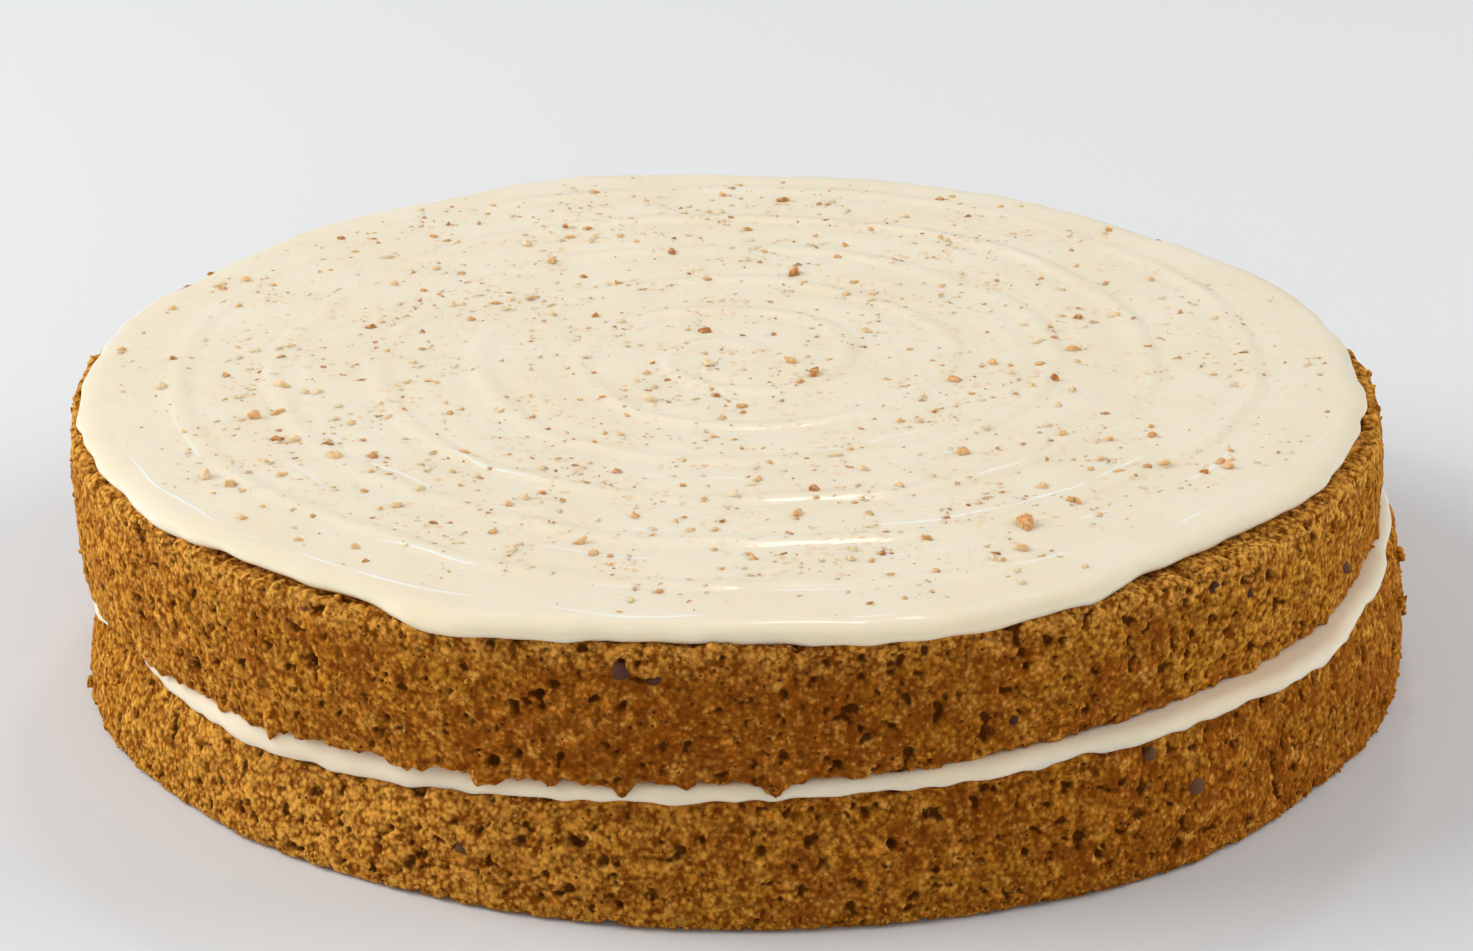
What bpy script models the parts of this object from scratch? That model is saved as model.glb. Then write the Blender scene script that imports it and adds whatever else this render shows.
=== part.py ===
"""A round carrot cake: two sponge layers, cream between them and swirled cream on top.

Four closed solids, in metres, with +Z up and the origin on the table under the middle of
the cake: bottom_sponge, cream_filling, top_sponge and cream_topping. Each one is lofted
through rings of points, and a ring's radius and height follow the functions below.
"""

import math

import bmesh
import bpy

# Driving dimensions, in metres.
CAKE_RADIUS = 0.140
BOTTOM_RADIUS = 0.1425   # at the table
TOP_RADIUS = 0.1394
LAYER_SHIFT = 0.002      # the two sponges were stacked this far off the middle, one each way
CLEARANCE = 0.0003       # between two pieces that touch
BELLY = 0.0006           # how far a sponge's side swells at half height
FOOT_CORNER = 0.0008     # rounding of a sponge's lower edge
HEAD_CORNER = 0.0018     # rounding of its upper edge
BOTTOM_TAPER = 0.0034    # the lower sponge is narrower by this at its top
CREAM_THICKNESS = 0.0036
CREAM_REACH = 0.1362     # middle radius of the cream on top, a little inside the sponge
FILLING_REACH = 0.1403
SWIRL_MIDDLE = (0.0, 0.008)
SWIRL_SPACING = 0.0215   # from one spatula ridge to the next
SWIRL_HEIGHT = 0.0011
MOUND = 0.0003           # how far the middle of the cream stands above its rim
LIP = 0.0028             # how far the cream's rounded edge reaches past its flat top
LIP_START, LIP_END = -45, 80     # degrees of slope where the lip's curve starts and ends

# The layers lean: height at the middle, rise to +X and rise to +Y, both over one cake radius.
BOTTOM_SPONGE_TOP = (0.0259, 0.0053, -0.0003)
TOP_SPONGE_BASE = (0.0289, 0.0042, -0.0008)
TOP_SPONGE_TOP = (0.0580, 0.0003, 0.0)

# Waves in an outline: reach, how many go round the cake, phase in degrees.
BOTTOM_WAVES = ((0.0006, 3, 20), (0.0005, 7, 80), (0.0004, 13, 10))
TOP_WAVES = ((0.0005, 4, 150), (0.0004, 9, 30), (0.0003, 15, 200))
FILLING_WAVES = ((0.0005, 5, 40), (0.0005, 11, 120), (0.0004, 19, 15))
CREAM_WAVES = ((0.0004, 6, 60), (0.0004, 13, 170))

# Single swellings, or hollows where the reach is negative: angle and half width in degrees,
# reach in metres.
BOTTOM_LOBES = ((208, 50, 0.0012), (255, 14, -0.0012), (300, 20, 0.0015))
BOTTOM_SAGS = ((237, 22, -0.0024),)
TOP_LOBES = ((190, 45, 0.0014),)
FILLING_LOBES = ((322, 32, 0.0034), (215, 60, -0.0022))
CREAM_LOBES = (
    (45, 17, -0.0032),
    (104, 17, 0.0038),
    (150, 18, -0.0024),
    (207, 32, 0.0022),
    (249, 12, 0.0052),
    (269, 14, -0.0026),
    (287, 15, 0.0036),
    (316, 19, -0.0036),
    (0, 24, -0.0012),
)

SPONGE_SEGMENTS = 72
CREAM_SEGMENTS = 100
SIDE_ROWS = 4
CORNER_STEPS = 3
BULGE_STEPS = 5
SWIRL_RINGS = 24

SPONGE_COLOUR = (0.36, 0.17, 0.045, 1.0)
CREAM_COLOUR = (0.86, 0.79, 0.62, 1.0)


def waves(angle, table):
    return sum(
        reach * math.sin(count * angle + math.radians(phase)) for reach, count, phase in table
    )


def lobes(angle, table):
    total = 0.0
    for middle, half_width, reach in table:
        away = abs((math.degrees(angle) - middle + 180) % 360 - 180) / half_width
        if away < 1:
            total += reach * (0.5 + 0.5 * math.cos(math.pi * away))
    return total


def leaning(plane, x, y):
    middle, rise_x, rise_y = plane
    return middle + (rise_x * x + rise_y * y) / CAKE_RADIUS


def table_top(x, y):
    return 0.0


def bottom_sponge_top(x, y):
    sag = lobes(math.atan2(y, x), BOTTOM_SAGS) * math.hypot(x, y) / CAKE_RADIUS
    return leaning(BOTTOM_SPONGE_TOP, x, y) + sag


def top_sponge_base(x, y):
    return leaning(TOP_SPONGE_BASE, x, y)


def top_sponge_top(x, y):
    return leaning(TOP_SPONGE_TOP, x, y)


def swirl(x, y):
    """Height of the spiral that a spatula leaves while the cake turns under it."""
    across, along = x - SWIRL_MIDDLE[0], y - SWIRL_MIDDLE[1]
    turn = math.atan2(along, across) / math.tau
    ridge = math.cos(math.tau * (math.hypot(across, along) / SWIRL_SPACING - turn))
    return 0.5 * SWIRL_HEIGHT * ridge


def corner(size):
    """(inset, lift) along a quarter round from a flat face up to the side."""
    turns = [0.5 * math.pi * step / CORNER_STEPS for step in range(CORNER_STEPS + 1)]
    return [(size * (1 - math.sin(turn)), size * (1 - math.cos(turn))) for turn in turns]


def sponge_profile():
    """(inset from the side, share of the height, offset in height) from the base to the top."""
    rising = [(inset, 0.0, lift) for inset, lift in corner(FOOT_CORNER)]
    side = [(0.0, row / SIDE_ROWS, 0.0) for row in range(1, SIDE_ROWS)]
    closing = [(inset, 1.0, -lift) for inset, lift in reversed(corner(HEAD_CORNER))]
    return rising + side + closing


def bottom_sponge_side(angle, share):
    swelling = waves(angle + 0.15 * share, BOTTOM_WAVES) + lobes(angle, BOTTOM_LOBES)
    return BOTTOM_RADIUS - BOTTOM_TAPER * share + swelling


def top_sponge_side(angle, share):
    leaning_out = lobes(angle, TOP_LOBES) * share
    return TOP_RADIUS + waves(angle + 0.15 * share, TOP_WAVES) + leaning_out


def sponge_rings(lower, upper, middle_x, side):
    """Rings of a baked layer between two levels, with the given radius of its side."""

    def ring(inset, share, offset):
        def point(angle):
            reach = side(angle, share) + BELLY * math.sin(math.pi * share) - inset
            x, y = middle_x + reach * math.cos(angle), reach * math.sin(angle)
            foot, head = lower(x, y), upper(x, y)
            return x, y, foot + share * (head - foot) + offset

        return point

    return [ring(*step) for step in sponge_profile()]


def filling_rings():
    """Rings of the cream between the sponges, which swells out as a half-round edge."""

    def ring(share):
        lift = 0.5 - 0.5 * math.cos(math.pi * share)
        inset = 0.0015 * (1 - math.sin(math.pi * share))

        def point(angle):
            reach = FILLING_REACH + waves(angle, FILLING_WAVES) + lobes(angle, FILLING_LOBES)
            x, y = (reach - inset) * math.cos(angle), (reach - inset) * math.sin(angle)
            foot = bottom_sponge_top(x, y) + CLEARANCE
            head = top_sponge_base(x, y) - CLEARANCE
            return x, y, foot + lift * (head - foot)

        return point

    return [ring(step / BULGE_STEPS) for step in range(BULGE_STEPS + 1)]


def topping_edge(angle):
    return CREAM_REACH + waves(angle, CREAM_WAVES) + lobes(angle, CREAM_LOBES)


def topping_point(angle, reach, rise):
    """A point at this distance from the cream's middle and this height over the sponge."""
    x, y = reach * math.cos(angle) - LAYER_SHIFT, reach * math.sin(angle)
    return x, y, top_sponge_top(x, y) + CLEARANCE + rise


def topping_rings():
    """Rings of the cream on top: flat underside, rounded lip, then the swirled surface."""
    start, end = math.sin(math.radians(LIP_START)), math.sin(math.radians(LIP_END))

    def lip_ring(share):
        slope = math.radians(LIP_START + share * (LIP_END - LIP_START))
        rise = CREAM_THICKNESS * (math.sin(slope) - start) / (end - start)

        def point(angle):
            return topping_point(angle, topping_edge(angle) - LIP * (1 - math.cos(slope)), rise)

        return point

    def top_ring(inwards):
        def point(angle):
            flat_reach = topping_edge(angle) - 1.4 * LIP
            x, y, level = topping_point(angle, flat_reach * (1 - inwards), CREAM_THICKNESS)
            return x, y, level + MOUND * inwards + swirl(x, y) * min(1.0, 8 * inwards)

        return point

    rings = [lip_ring(step / BULGE_STEPS) for step in range(BULGE_STEPS + 1)]
    return rings + [top_ring(step / SWIRL_RINGS) for step in range(SWIRL_RINGS)]


def material(name, colour, roughness):
    made = bpy.data.materials.new(name)
    made.use_nodes = True
    shader = made.node_tree.nodes["Principled BSDF"]
    shader.inputs["Base Color"].default_value = colour
    shader.inputs["Roughness"].default_value = roughness
    shader.inputs["Metallic"].default_value = 0.0
    return made


def loft(name, rings, segments, finish, flat_base=True):
    """One closed solid through the rings, with a fan of faces over its top, and under its
    base unless that is flat."""
    bm = bmesh.new()
    angle_of = bm.verts.layers.float.new("angle")
    ring = bmesh.ops.create_circle(bm, segments=segments, radius=1.0)["verts"]
    for vert in ring:
        vert[angle_of] = math.atan2(vert.co.y, vert.co.x)
        vert.co = rings[0](vert[angle_of])
    edges = list(bm.edges)
    caps = bmesh.ops.contextual_create(bm, geom=ring + edges)["faces"]
    if flat_base:
        caps = []
    for place in rings[1:]:
        grown = bmesh.ops.extrude_edge_only(bm, edges=edges)["geom"]
        edges = [part for part in grown if isinstance(part, bmesh.types.BMEdge)]
        ring = [part for part in grown if isinstance(part, bmesh.types.BMVert)]
        for vert in ring:
            vert.co = place(vert[angle_of])
    caps += bmesh.ops.contextual_create(bm, geom=ring + edges)["faces"]
    bmesh.ops.poke(bm, faces=caps)
    bmesh.ops.recalc_face_normals(bm, faces=bm.faces)
    mesh = bpy.data.meshes.new(name)
    bm.to_mesh(mesh)
    bm.free()
    mesh.shade_smooth()
    mesh.set_sharp_from_angle(angle=math.radians(50))
    mesh.materials.append(finish)
    solid = bpy.data.objects.new(name, mesh)
    bpy.context.scene.collection.objects.link(solid)
    return solid


def main():
    for old in list(bpy.data.objects):
        bpy.data.objects.remove(old)
    sponge = material("sponge", SPONGE_COLOUR, 0.9)
    cream = material("cream", CREAM_COLOUR, 0.3)
    bottom_rings = sponge_rings(table_top, bottom_sponge_top, LAYER_SHIFT, bottom_sponge_side)
    top_rings = sponge_rings(top_sponge_base, top_sponge_top, -LAYER_SHIFT, top_sponge_side)
    loft("bottom_sponge", bottom_rings, SPONGE_SEGMENTS, sponge)
    loft("cream_filling", filling_rings(), SPONGE_SEGMENTS, cream, flat_base=False)
    loft("top_sponge", top_rings, SPONGE_SEGMENTS, sponge)
    loft("cream_topping", topping_rings(), CREAM_SEGMENTS, cream)


main()
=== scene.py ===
"""Looks of a round carrot cake: porous sponge, oozing cream, a swirled top and chopped nuts.

It is laid out as a Blender add-on and run as a script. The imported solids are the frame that
every piece is built on.
"""

import math

import bmesh
import bpy
import numpy as np
from mathutils import Matrix, Vector
from mathutils.bvhtree import BVHTree


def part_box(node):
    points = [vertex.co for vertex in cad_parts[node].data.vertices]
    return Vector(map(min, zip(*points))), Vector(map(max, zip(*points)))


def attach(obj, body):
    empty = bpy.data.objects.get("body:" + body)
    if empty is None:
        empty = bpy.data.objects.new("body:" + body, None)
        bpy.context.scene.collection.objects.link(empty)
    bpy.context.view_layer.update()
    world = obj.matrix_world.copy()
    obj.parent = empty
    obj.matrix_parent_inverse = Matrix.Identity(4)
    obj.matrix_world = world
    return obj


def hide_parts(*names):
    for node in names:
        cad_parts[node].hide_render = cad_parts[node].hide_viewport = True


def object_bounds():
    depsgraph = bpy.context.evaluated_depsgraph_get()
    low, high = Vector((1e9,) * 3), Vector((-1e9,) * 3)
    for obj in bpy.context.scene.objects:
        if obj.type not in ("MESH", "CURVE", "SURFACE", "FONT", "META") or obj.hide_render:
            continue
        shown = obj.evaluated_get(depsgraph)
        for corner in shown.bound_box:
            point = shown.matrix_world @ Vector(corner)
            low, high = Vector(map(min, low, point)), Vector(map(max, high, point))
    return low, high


bl_info = {
    "name": "Carrot cake looks",
    "version": (1, 0, 0),
    "blender": (4, 5, 0),
    "location": "3D View > Sidebar > Cake",
    "description": "Dresses the packed cake in sponge crumb, cream and chopped nuts",
    "category": "Object",
}

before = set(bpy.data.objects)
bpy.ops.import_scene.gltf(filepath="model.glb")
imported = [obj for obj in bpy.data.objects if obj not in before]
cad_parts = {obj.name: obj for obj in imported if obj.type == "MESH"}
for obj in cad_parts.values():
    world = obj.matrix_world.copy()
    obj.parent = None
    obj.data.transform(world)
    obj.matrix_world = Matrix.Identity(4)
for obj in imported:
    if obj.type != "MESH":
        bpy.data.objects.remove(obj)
CAD_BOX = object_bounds()
CAKE_HIGH = CAD_BOX[1][2]
CAKE_RADIUS = 0.5 * (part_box("top_sponge")[1].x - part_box("top_sponge")[0].x)
MM = 0.001


# ---------------------------------------------------------------- settings


class SpongeSettings(bpy.types.PropertyGroup):
    lump_size: bpy.props.FloatProperty(
        name="Lump size", description="Usual width of a lump of crumb",
        default=2.6 * MM, unit="LENGTH", precision=5,
    )
    lump_height: bpy.props.FloatProperty(
        name="Lump height", description="How far the crumb stands out and falls back",
        default=0.42 * MM, unit="LENGTH", precision=5,
    )
    pore_size: bpy.props.FloatProperty(
        name="Pore size", description="Spacing of the air holes",
        default=3.0 * MM, unit="LENGTH", precision=5,
    )
    pore_depth: bpy.props.FloatProperty(
        name="Pore depth", description="Depth of the air holes",
        default=1.4 * MM, unit="LENGTH", precision=5,
    )
    crumb: bpy.props.FloatVectorProperty(
        name="Crumb", description="Colour of most of the sponge",
        default=(0.578, 0.218, 0.0185), subtype="COLOR", min=0.0, max=1.0,
    )
    golden: bpy.props.FloatVectorProperty(
        name="Golden crumb", description="Colour of the palest lumps",
        default=(0.80, 0.390, 0.066), subtype="COLOR", min=0.0, max=1.0,
    )
    baked: bpy.props.FloatVectorProperty(
        name="Baked crumb", description="Colour of the darker, redder patches",
        default=(0.335, 0.098, 0.0066), subtype="COLOR", min=0.0, max=1.0,
    )
    olive: bpy.props.FloatVectorProperty(
        name="Olive crumb", description="Colour of the yellower patches",
        default=(0.550, 0.262, 0.023), subtype="COLOR", min=0.0, max=1.0,
    )
    carrot: bpy.props.FloatVectorProperty(
        name="Carrot", description="Colour of the grated carrot in the sponge",
        default=(0.78, 0.250, 0.013), subtype="COLOR", min=0.0, max=1.0,
    )
    # Painted highlight: the colour laid on the raised tips of the crumb, standing for the light they
    # catch.
    tip: bpy.props.FloatVectorProperty(
        name="Crumb tip", description="Colour of the tips of the crumb, where it catches light",
        default=(0.89, 0.435, 0.082), subtype="COLOR", min=0.0, max=1.0,
    )
    # Painted shade: the colour laid in the low parts between the lumps of crumb, standing for the
    # shade there.
    shadow: bpy.props.FloatVectorProperty(
        name="Shadow crumb", description="Colour between the lumps of crumb",
        default=(0.212, 0.055, 0.0034), subtype="COLOR", min=0.0, max=1.0,
    )
    # Painted shade: the colour laid in the air holes, gaps and cracks and in the colour-only pits,
    # standing for the shade inside them.
    hole_shade: bpy.props.FloatVectorProperty(
        name="Deep crumb", description="Colour at the bottom of an air hole",
        default=(0.06, 0.014, 0.001), subtype="COLOR", min=0.0, max=1.0,
    )


class CreamSettings(bpy.types.PropertyGroup):
    colour: bpy.props.FloatVectorProperty(
        name="Cream", description="Colour of the cream cheese icing",
        default=(0.895, 0.785, 0.598), subtype="COLOR", min=0.0, max=1.0,
    )
    # The filling's cream colour, made warmer than the topping partly as painted light: it stands for
    # the warm light the sponge bounces onto it.
    filling_colour: bpy.props.FloatVectorProperty(
        name="Filling", description="Colour of the cream between the layers",
        default=(0.985, 0.785, 0.600), subtype="COLOR", min=0.0, max=1.0,
    )
    thickness: bpy.props.FloatProperty(
        name="Thickness", description="Thickness of the cream on top",
        default=3.6 * MM, unit="LENGTH", precision=5,
    )
    swirl_spacing: bpy.props.FloatProperty(
        name="Swirl spacing", description="Distance from one spatula ridge to the next",
        default=21.5 * MM, unit="LENGTH", precision=5,
    )
    swirl_height: bpy.props.FloatProperty(
        name="Swirl height", description="Height of a spatula ridge",
        default=1.35 * MM, unit="LENGTH", precision=5,
    )
    roughness: bpy.props.FloatProperty(
        name="Roughness", description="Roughness of the cream's surface",
        default=0.40, min=0.0, max=1.0, subtype="FACTOR",
    )


class NutSettings(bpy.types.PropertyGroup):
    chunks: bpy.props.IntProperty(
        name="Chunks", description="Number of the larger nut pieces", default=90, min=1,
    )
    chip_density: bpy.props.FloatProperty(
        name="Chips", description="Small nut chips for each square metre",
        default=40000.0, min=0.0,
    )
    dust_density: bpy.props.FloatProperty(
        name="Dust", description="Nut dust grains for each square metre",
        default=110000.0, min=0.0,
    )


class StageSettings(bpy.types.PropertyGroup):
    floor: bpy.props.FloatVectorProperty(
        name="Floor", description="Colour of the floor",
        default=(0.79, 0.795, 0.79), subtype="COLOR", min=0.0, max=1.0,
    )
    light: bpy.props.FloatProperty(
        name="Light", description="Strength of all lamps together", default=1.03, min=0.0,
    )
    lens: bpy.props.FloatProperty(
        name="Lens", description="Focal length of the camera in millimetres",
        default=119.2, min=1.0,
    )


# ---------------------------------------------------------------- node trees


def add(tree, kind, inputs=None, **settings):
    """Adds one node. An input is a socket to link from, or a plain value."""
    made = tree.nodes.new(kind)
    for name, value in settings.items():
        setattr(made, name, value)
    for key, value in (inputs or {}).items():
        if isinstance(value, bpy.types.NodeSocket):
            tree.links.new(value, made.inputs[key])
        else:
            made.inputs[key].default_value = value
    return made


def maths(tree, operation, *values):
    return add(tree, "ShaderNodeMath", dict(enumerate(values)), operation=operation).outputs[0]


def vectors(tree, operation, *values):
    made = add(tree, "ShaderNodeVectorMath", dict(enumerate(values)), operation=operation)
    return made.outputs[0]


def scaled(tree, vector, factor):
    made = add(tree, "ShaderNodeVectorMath", {0: vector, "Scale": factor}, operation="SCALE")
    return made.outputs[0]


def ramp(tree, value, low, high, start=0.0, end=1.0, kind="SMOOTHSTEP"):
    """value carried from low..high to start..end, and held there outside."""
    wiring = {"Value": value, "From Min": low, "From Max": high, "To Min": start, "To Max": end}
    return add(tree, "ShaderNodeMapRange", wiring, interpolation_type=kind).outputs[0]


def noise(tree, vector, size, detail=2.0, roughness=0.5):
    """Noise whose features are about this size, in metres."""
    wiring = {"Vector": vector, "Scale": 1.0 / size, "Detail": detail, "Roughness": roughness}
    return add(tree, "ShaderNodeTexNoise", wiring)


def cells(tree, vector, size, feature="F1"):
    """Voronoi cells of about this size. The size is a number, or a socket in metres."""
    if isinstance(size, bpy.types.NodeSocket):
        scale = maths(tree, "DIVIDE", 1.0, size)
    else:
        scale = 1.0 / size
    return add(tree, "ShaderNodeTexVoronoi", {"Vector": vector, "Scale": scale}, feature=feature)


def mixed(tree, factor, first, second):
    made = add(tree, "ShaderNodeMix", {0: factor, 6: first, 7: second}, data_type="RGBA")
    return made.outputs[2]


def pits(tree, place, size, share, widest):
    """1 inside round air holes and 0 outside. share of the cells hold a hole."""
    found = cells(tree, place, size)
    chance = add(tree, "ShaderNodeSeparateXYZ", {0: found.outputs["Color"]}).outputs[0]
    reach = ramp(tree, chance, 1.0 - share, 1.0, 0.0, widest, kind="LINEAR")
    rim = maths(tree, "MULTIPLY", reach, 0.45)
    inner = ramp(tree, found.outputs["Distance"], rim, reach, 1.0, 0.0)
    return maths(tree, "MULTIPLY", inner, maths(tree, "GREATER_THAN", reach, 0.02))


def warped(tree, place, size, reach):
    """Coordinates pushed about, so that round cells come out irregular."""
    push = vectors(tree, "SUBTRACT", noise(tree, place, size).outputs["Color"], (0.5, 0.5, 0.5))
    return vectors(tree, "ADD", place, scaled(tree, push, reach))


def geometry_tree(name, labels):
    """An empty Geometry Nodes tree with a geometry input and these named number inputs."""
    tree = bpy.data.node_groups.new(name, "GeometryNodeTree")
    sockets = tree.interface
    sockets.new_socket(name="Geometry", in_out="INPUT", socket_type="NodeSocketGeometry")
    for label in labels:
        sockets.new_socket(name=label, in_out="INPUT", socket_type="NodeSocketFloat")
    sockets.new_socket(name="Geometry", in_out="OUTPUT", socket_type="NodeSocketGeometry")
    return tree, tree.nodes.new("NodeGroupInput").outputs


def end_tree(tree, geometry, finish):
    """Every tree ends in Realize Instances and Set Material."""
    real = add(tree, "GeometryNodeRealizeInstances", {"Geometry": geometry}).outputs[0]
    coated = add(tree, "GeometryNodeSetMaterial", {"Geometry": real, "Material": finish})
    add(tree, "NodeGroupOutput", {"Geometry": coated.outputs[0]})


def stored(tree, geometry, name, value, kind="FLOAT", domain="POINT"):
    wiring = {"Geometry": geometry, "Name": name, "Value": value}
    made = add(
        tree, "GeometryNodeStoreNamedAttribute", wiring, data_type=kind, domain=domain
    )
    return made.outputs["Geometry"]


def read(tree, name, kind="FLOAT"):
    return add(tree, "GeometryNodeInputNamedAttribute", {"Name": name}, data_type=kind).outputs[0]


def chance(tree, seed, low=0.0, high=1.0):
    """A random number for each element."""
    wiring = {2: low, 3: high, "Seed": seed}
    return add(tree, "FunctionNodeRandomValue", wiring, data_type="FLOAT").outputs[1]


def random_vector(tree, seed, low, high):
    wiring = {0: low, 1: high, "Seed": seed}
    return add(tree, "FunctionNodeRandomValue", wiring, data_type="FLOAT_VECTOR").outputs[0]


# ---------------------------------------------------------------- pieces


def linked(name, mesh):
    piece = bpy.data.objects.new(name, mesh)
    bpy.context.scene.collection.objects.link(piece)
    return piece


def grown(name, start, tree, values):
    """A piece whose plain mesh is what the tree makes of the start mesh."""
    piece = linked(name, start)
    modifier = piece.modifiers.new(tree.name, "NODES")
    modifier.node_group = tree
    for item in tree.interface.items_tree:
        if item.in_out == "INPUT" and item.name in values:
            modifier[item.identifier] = values[item.name]
    graph = bpy.context.evaluated_depsgraph_get()
    made = bpy.data.meshes.new_from_object(piece.evaluated_get(graph), depsgraph=graph)
    piece.modifiers.clear()
    piece.data = made
    made.name = name
    if not made.polygons:
        raise RuntimeError(f"{name} came out of {tree.name} with no faces")
    return piece


def solid_tree(node):
    """A ray-casting tree of one CAD solid, from a merged copy of its mesh."""
    copy = bmesh.new()
    copy.from_mesh(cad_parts[node].data)
    bmesh.ops.remove_doubles(copy, verts=copy.verts, dist=1e-6)
    tree = BVHTree.FromBMesh(copy)
    copy.free()
    return tree


SHARES = np.array([0.04, 0.12, 0.3, 0.5, 0.7, 0.88, 0.96])


class Layer:
    """Levels and side radii of one CAD layer round the cake, read from its solid by rays."""

    STEPS = 180
    INNER, OUTER = 0.80, 0.92

    def __init__(self, node):
        self.tree = solid_tree(node)
        self.angles = np.arange(self.STEPS) * math.tau / self.STEPS
        levels = np.array([self.rim_levels(angle) for angle in self.angles])
        self.foots, self.heads = levels[:, 0], levels[:, 1]
        self.sides = np.array(
            [
                [self.side(angle, foot, head, share) for share in SHARES]
                for angle, foot, head in zip(self.angles, self.foots, self.heads)
            ]
        )

    def levels_at(self, x, y):
        below = self.tree.ray_cast(Vector((x, y, -0.1)), Vector((0, 0, 1)))[0]
        above = self.tree.ray_cast(Vector((x, y, 0.3)), Vector((0, 0, -1)))[0]
        return np.array((below.z, above.z))

    def rim_levels(self, angle):
        """Underside and top at the rim, carried on from two points further in."""
        direction = np.array((math.cos(angle), math.sin(angle))) * CAKE_RADIUS
        near = self.levels_at(*(self.INNER * direction))
        far = self.levels_at(*(self.OUTER * direction))
        return far + (far - near) * (1.0 - self.OUTER) / (self.OUTER - self.INNER)

    def side(self, angle, foot, head, share):
        """Radius of the side. Near a rounded edge it looks a little nearer the middle."""
        outward = Vector((math.cos(angle), math.sin(angle), 0.0))
        for pull in (0.0, 0.15, 0.3, 0.45, 0.6, 0.8, 1.0):
            height = foot + (share + pull * (0.5 - share)) * (head - foot)
            hit = self.tree.ray_cast(outward * 0.3 + Vector((0, 0, height)), -outward)[0]
            if hit is not None and math.hypot(hit.x, hit.y) > 0.7 * CAKE_RADIUS:
                return math.hypot(hit.x, hit.y)
        raise RuntimeError("a ray missed the side of a layer")

    def around(self, values, angles):
        return np.interp(angles, self.angles, values, period=math.tau)

    def reach(self, angles, share):
        """Radius of the side at this share of the height, for each angle."""
        at_share = np.array([np.interp(share, SHARES, row) for row in self.sides])
        return self.around(at_share, angles)


def closed_rings(name, rings, weights=None):
    """One closed mesh through rings of points, from the first pole to the last."""
    count = rings.shape[1]
    poles = np.array([rings[0].mean(axis=0), rings[-1].mean(axis=0)])
    points = np.concatenate([rings.reshape(-1, 3), poles])
    first = np.arange(count)
    after = (first + 1) % count
    faces = []
    for row in range(len(rings) - 1):
        low, high = row * count, (row + 1) * count
        faces.append(np.stack([low + first, low + after, high + after, high + first], axis=1))
    quads = np.concatenate(faces)
    under, over = len(points) - 2, len(points) - 1
    last = (len(rings) - 1) * count
    fans = np.concatenate(
        [
            np.stack([np.full(count, under), after, first], axis=1),
            np.stack([np.full(count, over), last + first, last + after], axis=1),
        ]
    )
    mesh = bpy.data.meshes.new(name)
    mesh.from_pydata(points, [], quads.tolist() + fans.tolist())
    mesh.shade_smooth()
    for label, rows in (weights or {}).items():
        values = np.concatenate([np.repeat(rows, count), (0.0, 0.0)])
        attribute = mesh.attributes.new(label, "FLOAT", "POINT")
        attribute.data.foreach_set("value", values.astype(np.float32))
    return mesh


def mark(mesh, label, values):
    """Keeps a vector for each ring point on the mesh. The two poles get zero."""
    attribute = mesh.attributes.new(label, "FLOAT_VECTOR", "POINT")
    flat = np.concatenate([values.reshape(-1, 3), np.zeros((2, 3))])
    attribute.data.foreach_set("vector", flat.astype(np.float32).ravel())


def wander(angles, waves, seed):
    """A wavy line round the cake. waves is (how many go round, reach) pairs."""
    random = np.random.default_rng(seed)
    total = np.zeros_like(angles)
    for count, reach in waves:
        for share in (0.8, 1.0, 1.27):
            turns = max(1, round(count * share))
            total += 0.6 * reach * np.sin(turns * angles + random.uniform(0, math.tau))
    return total


def finished(piece, finish_slot, *replaced):
    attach(piece, "root")
    if replaced:
        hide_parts(*replaced)
    return piece


# ---------------------------------------------------------------- sponge


WARP_SIZE, WARP_REACH = 2.4 * MM, 0.8 * MM
GRANULE = 1.15 * MM  # usual width of one granule of crumb
FINE_GAP = 0.48      # size of the small gaps between lumps, as a share of the air holes


def crumb_forms(tree, place, lump_size, pore_size):
    """The forms that the mesh and its material share: lumps, holes, gaps and fine gaps, 0 to 1."""
    pushed = warped(tree, place, WARP_SIZE, WARP_REACH)
    lump = noise(tree, pushed, lump_size, 2.5, 0.6).outputs[0]
    hole = pits(tree, pushed, 1.7 * pore_size, 0.34, 0.42)
    gap = ramp(tree, noise(tree, pushed, pore_size, 1.5).outputs[0], 0.58, 0.70)
    crack = ramp(tree, noise(tree, pushed, FINE_GAP * pore_size, 1.5).outputs[0], 0.53, 0.70)
    return lump, hole, gap, crack


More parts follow.
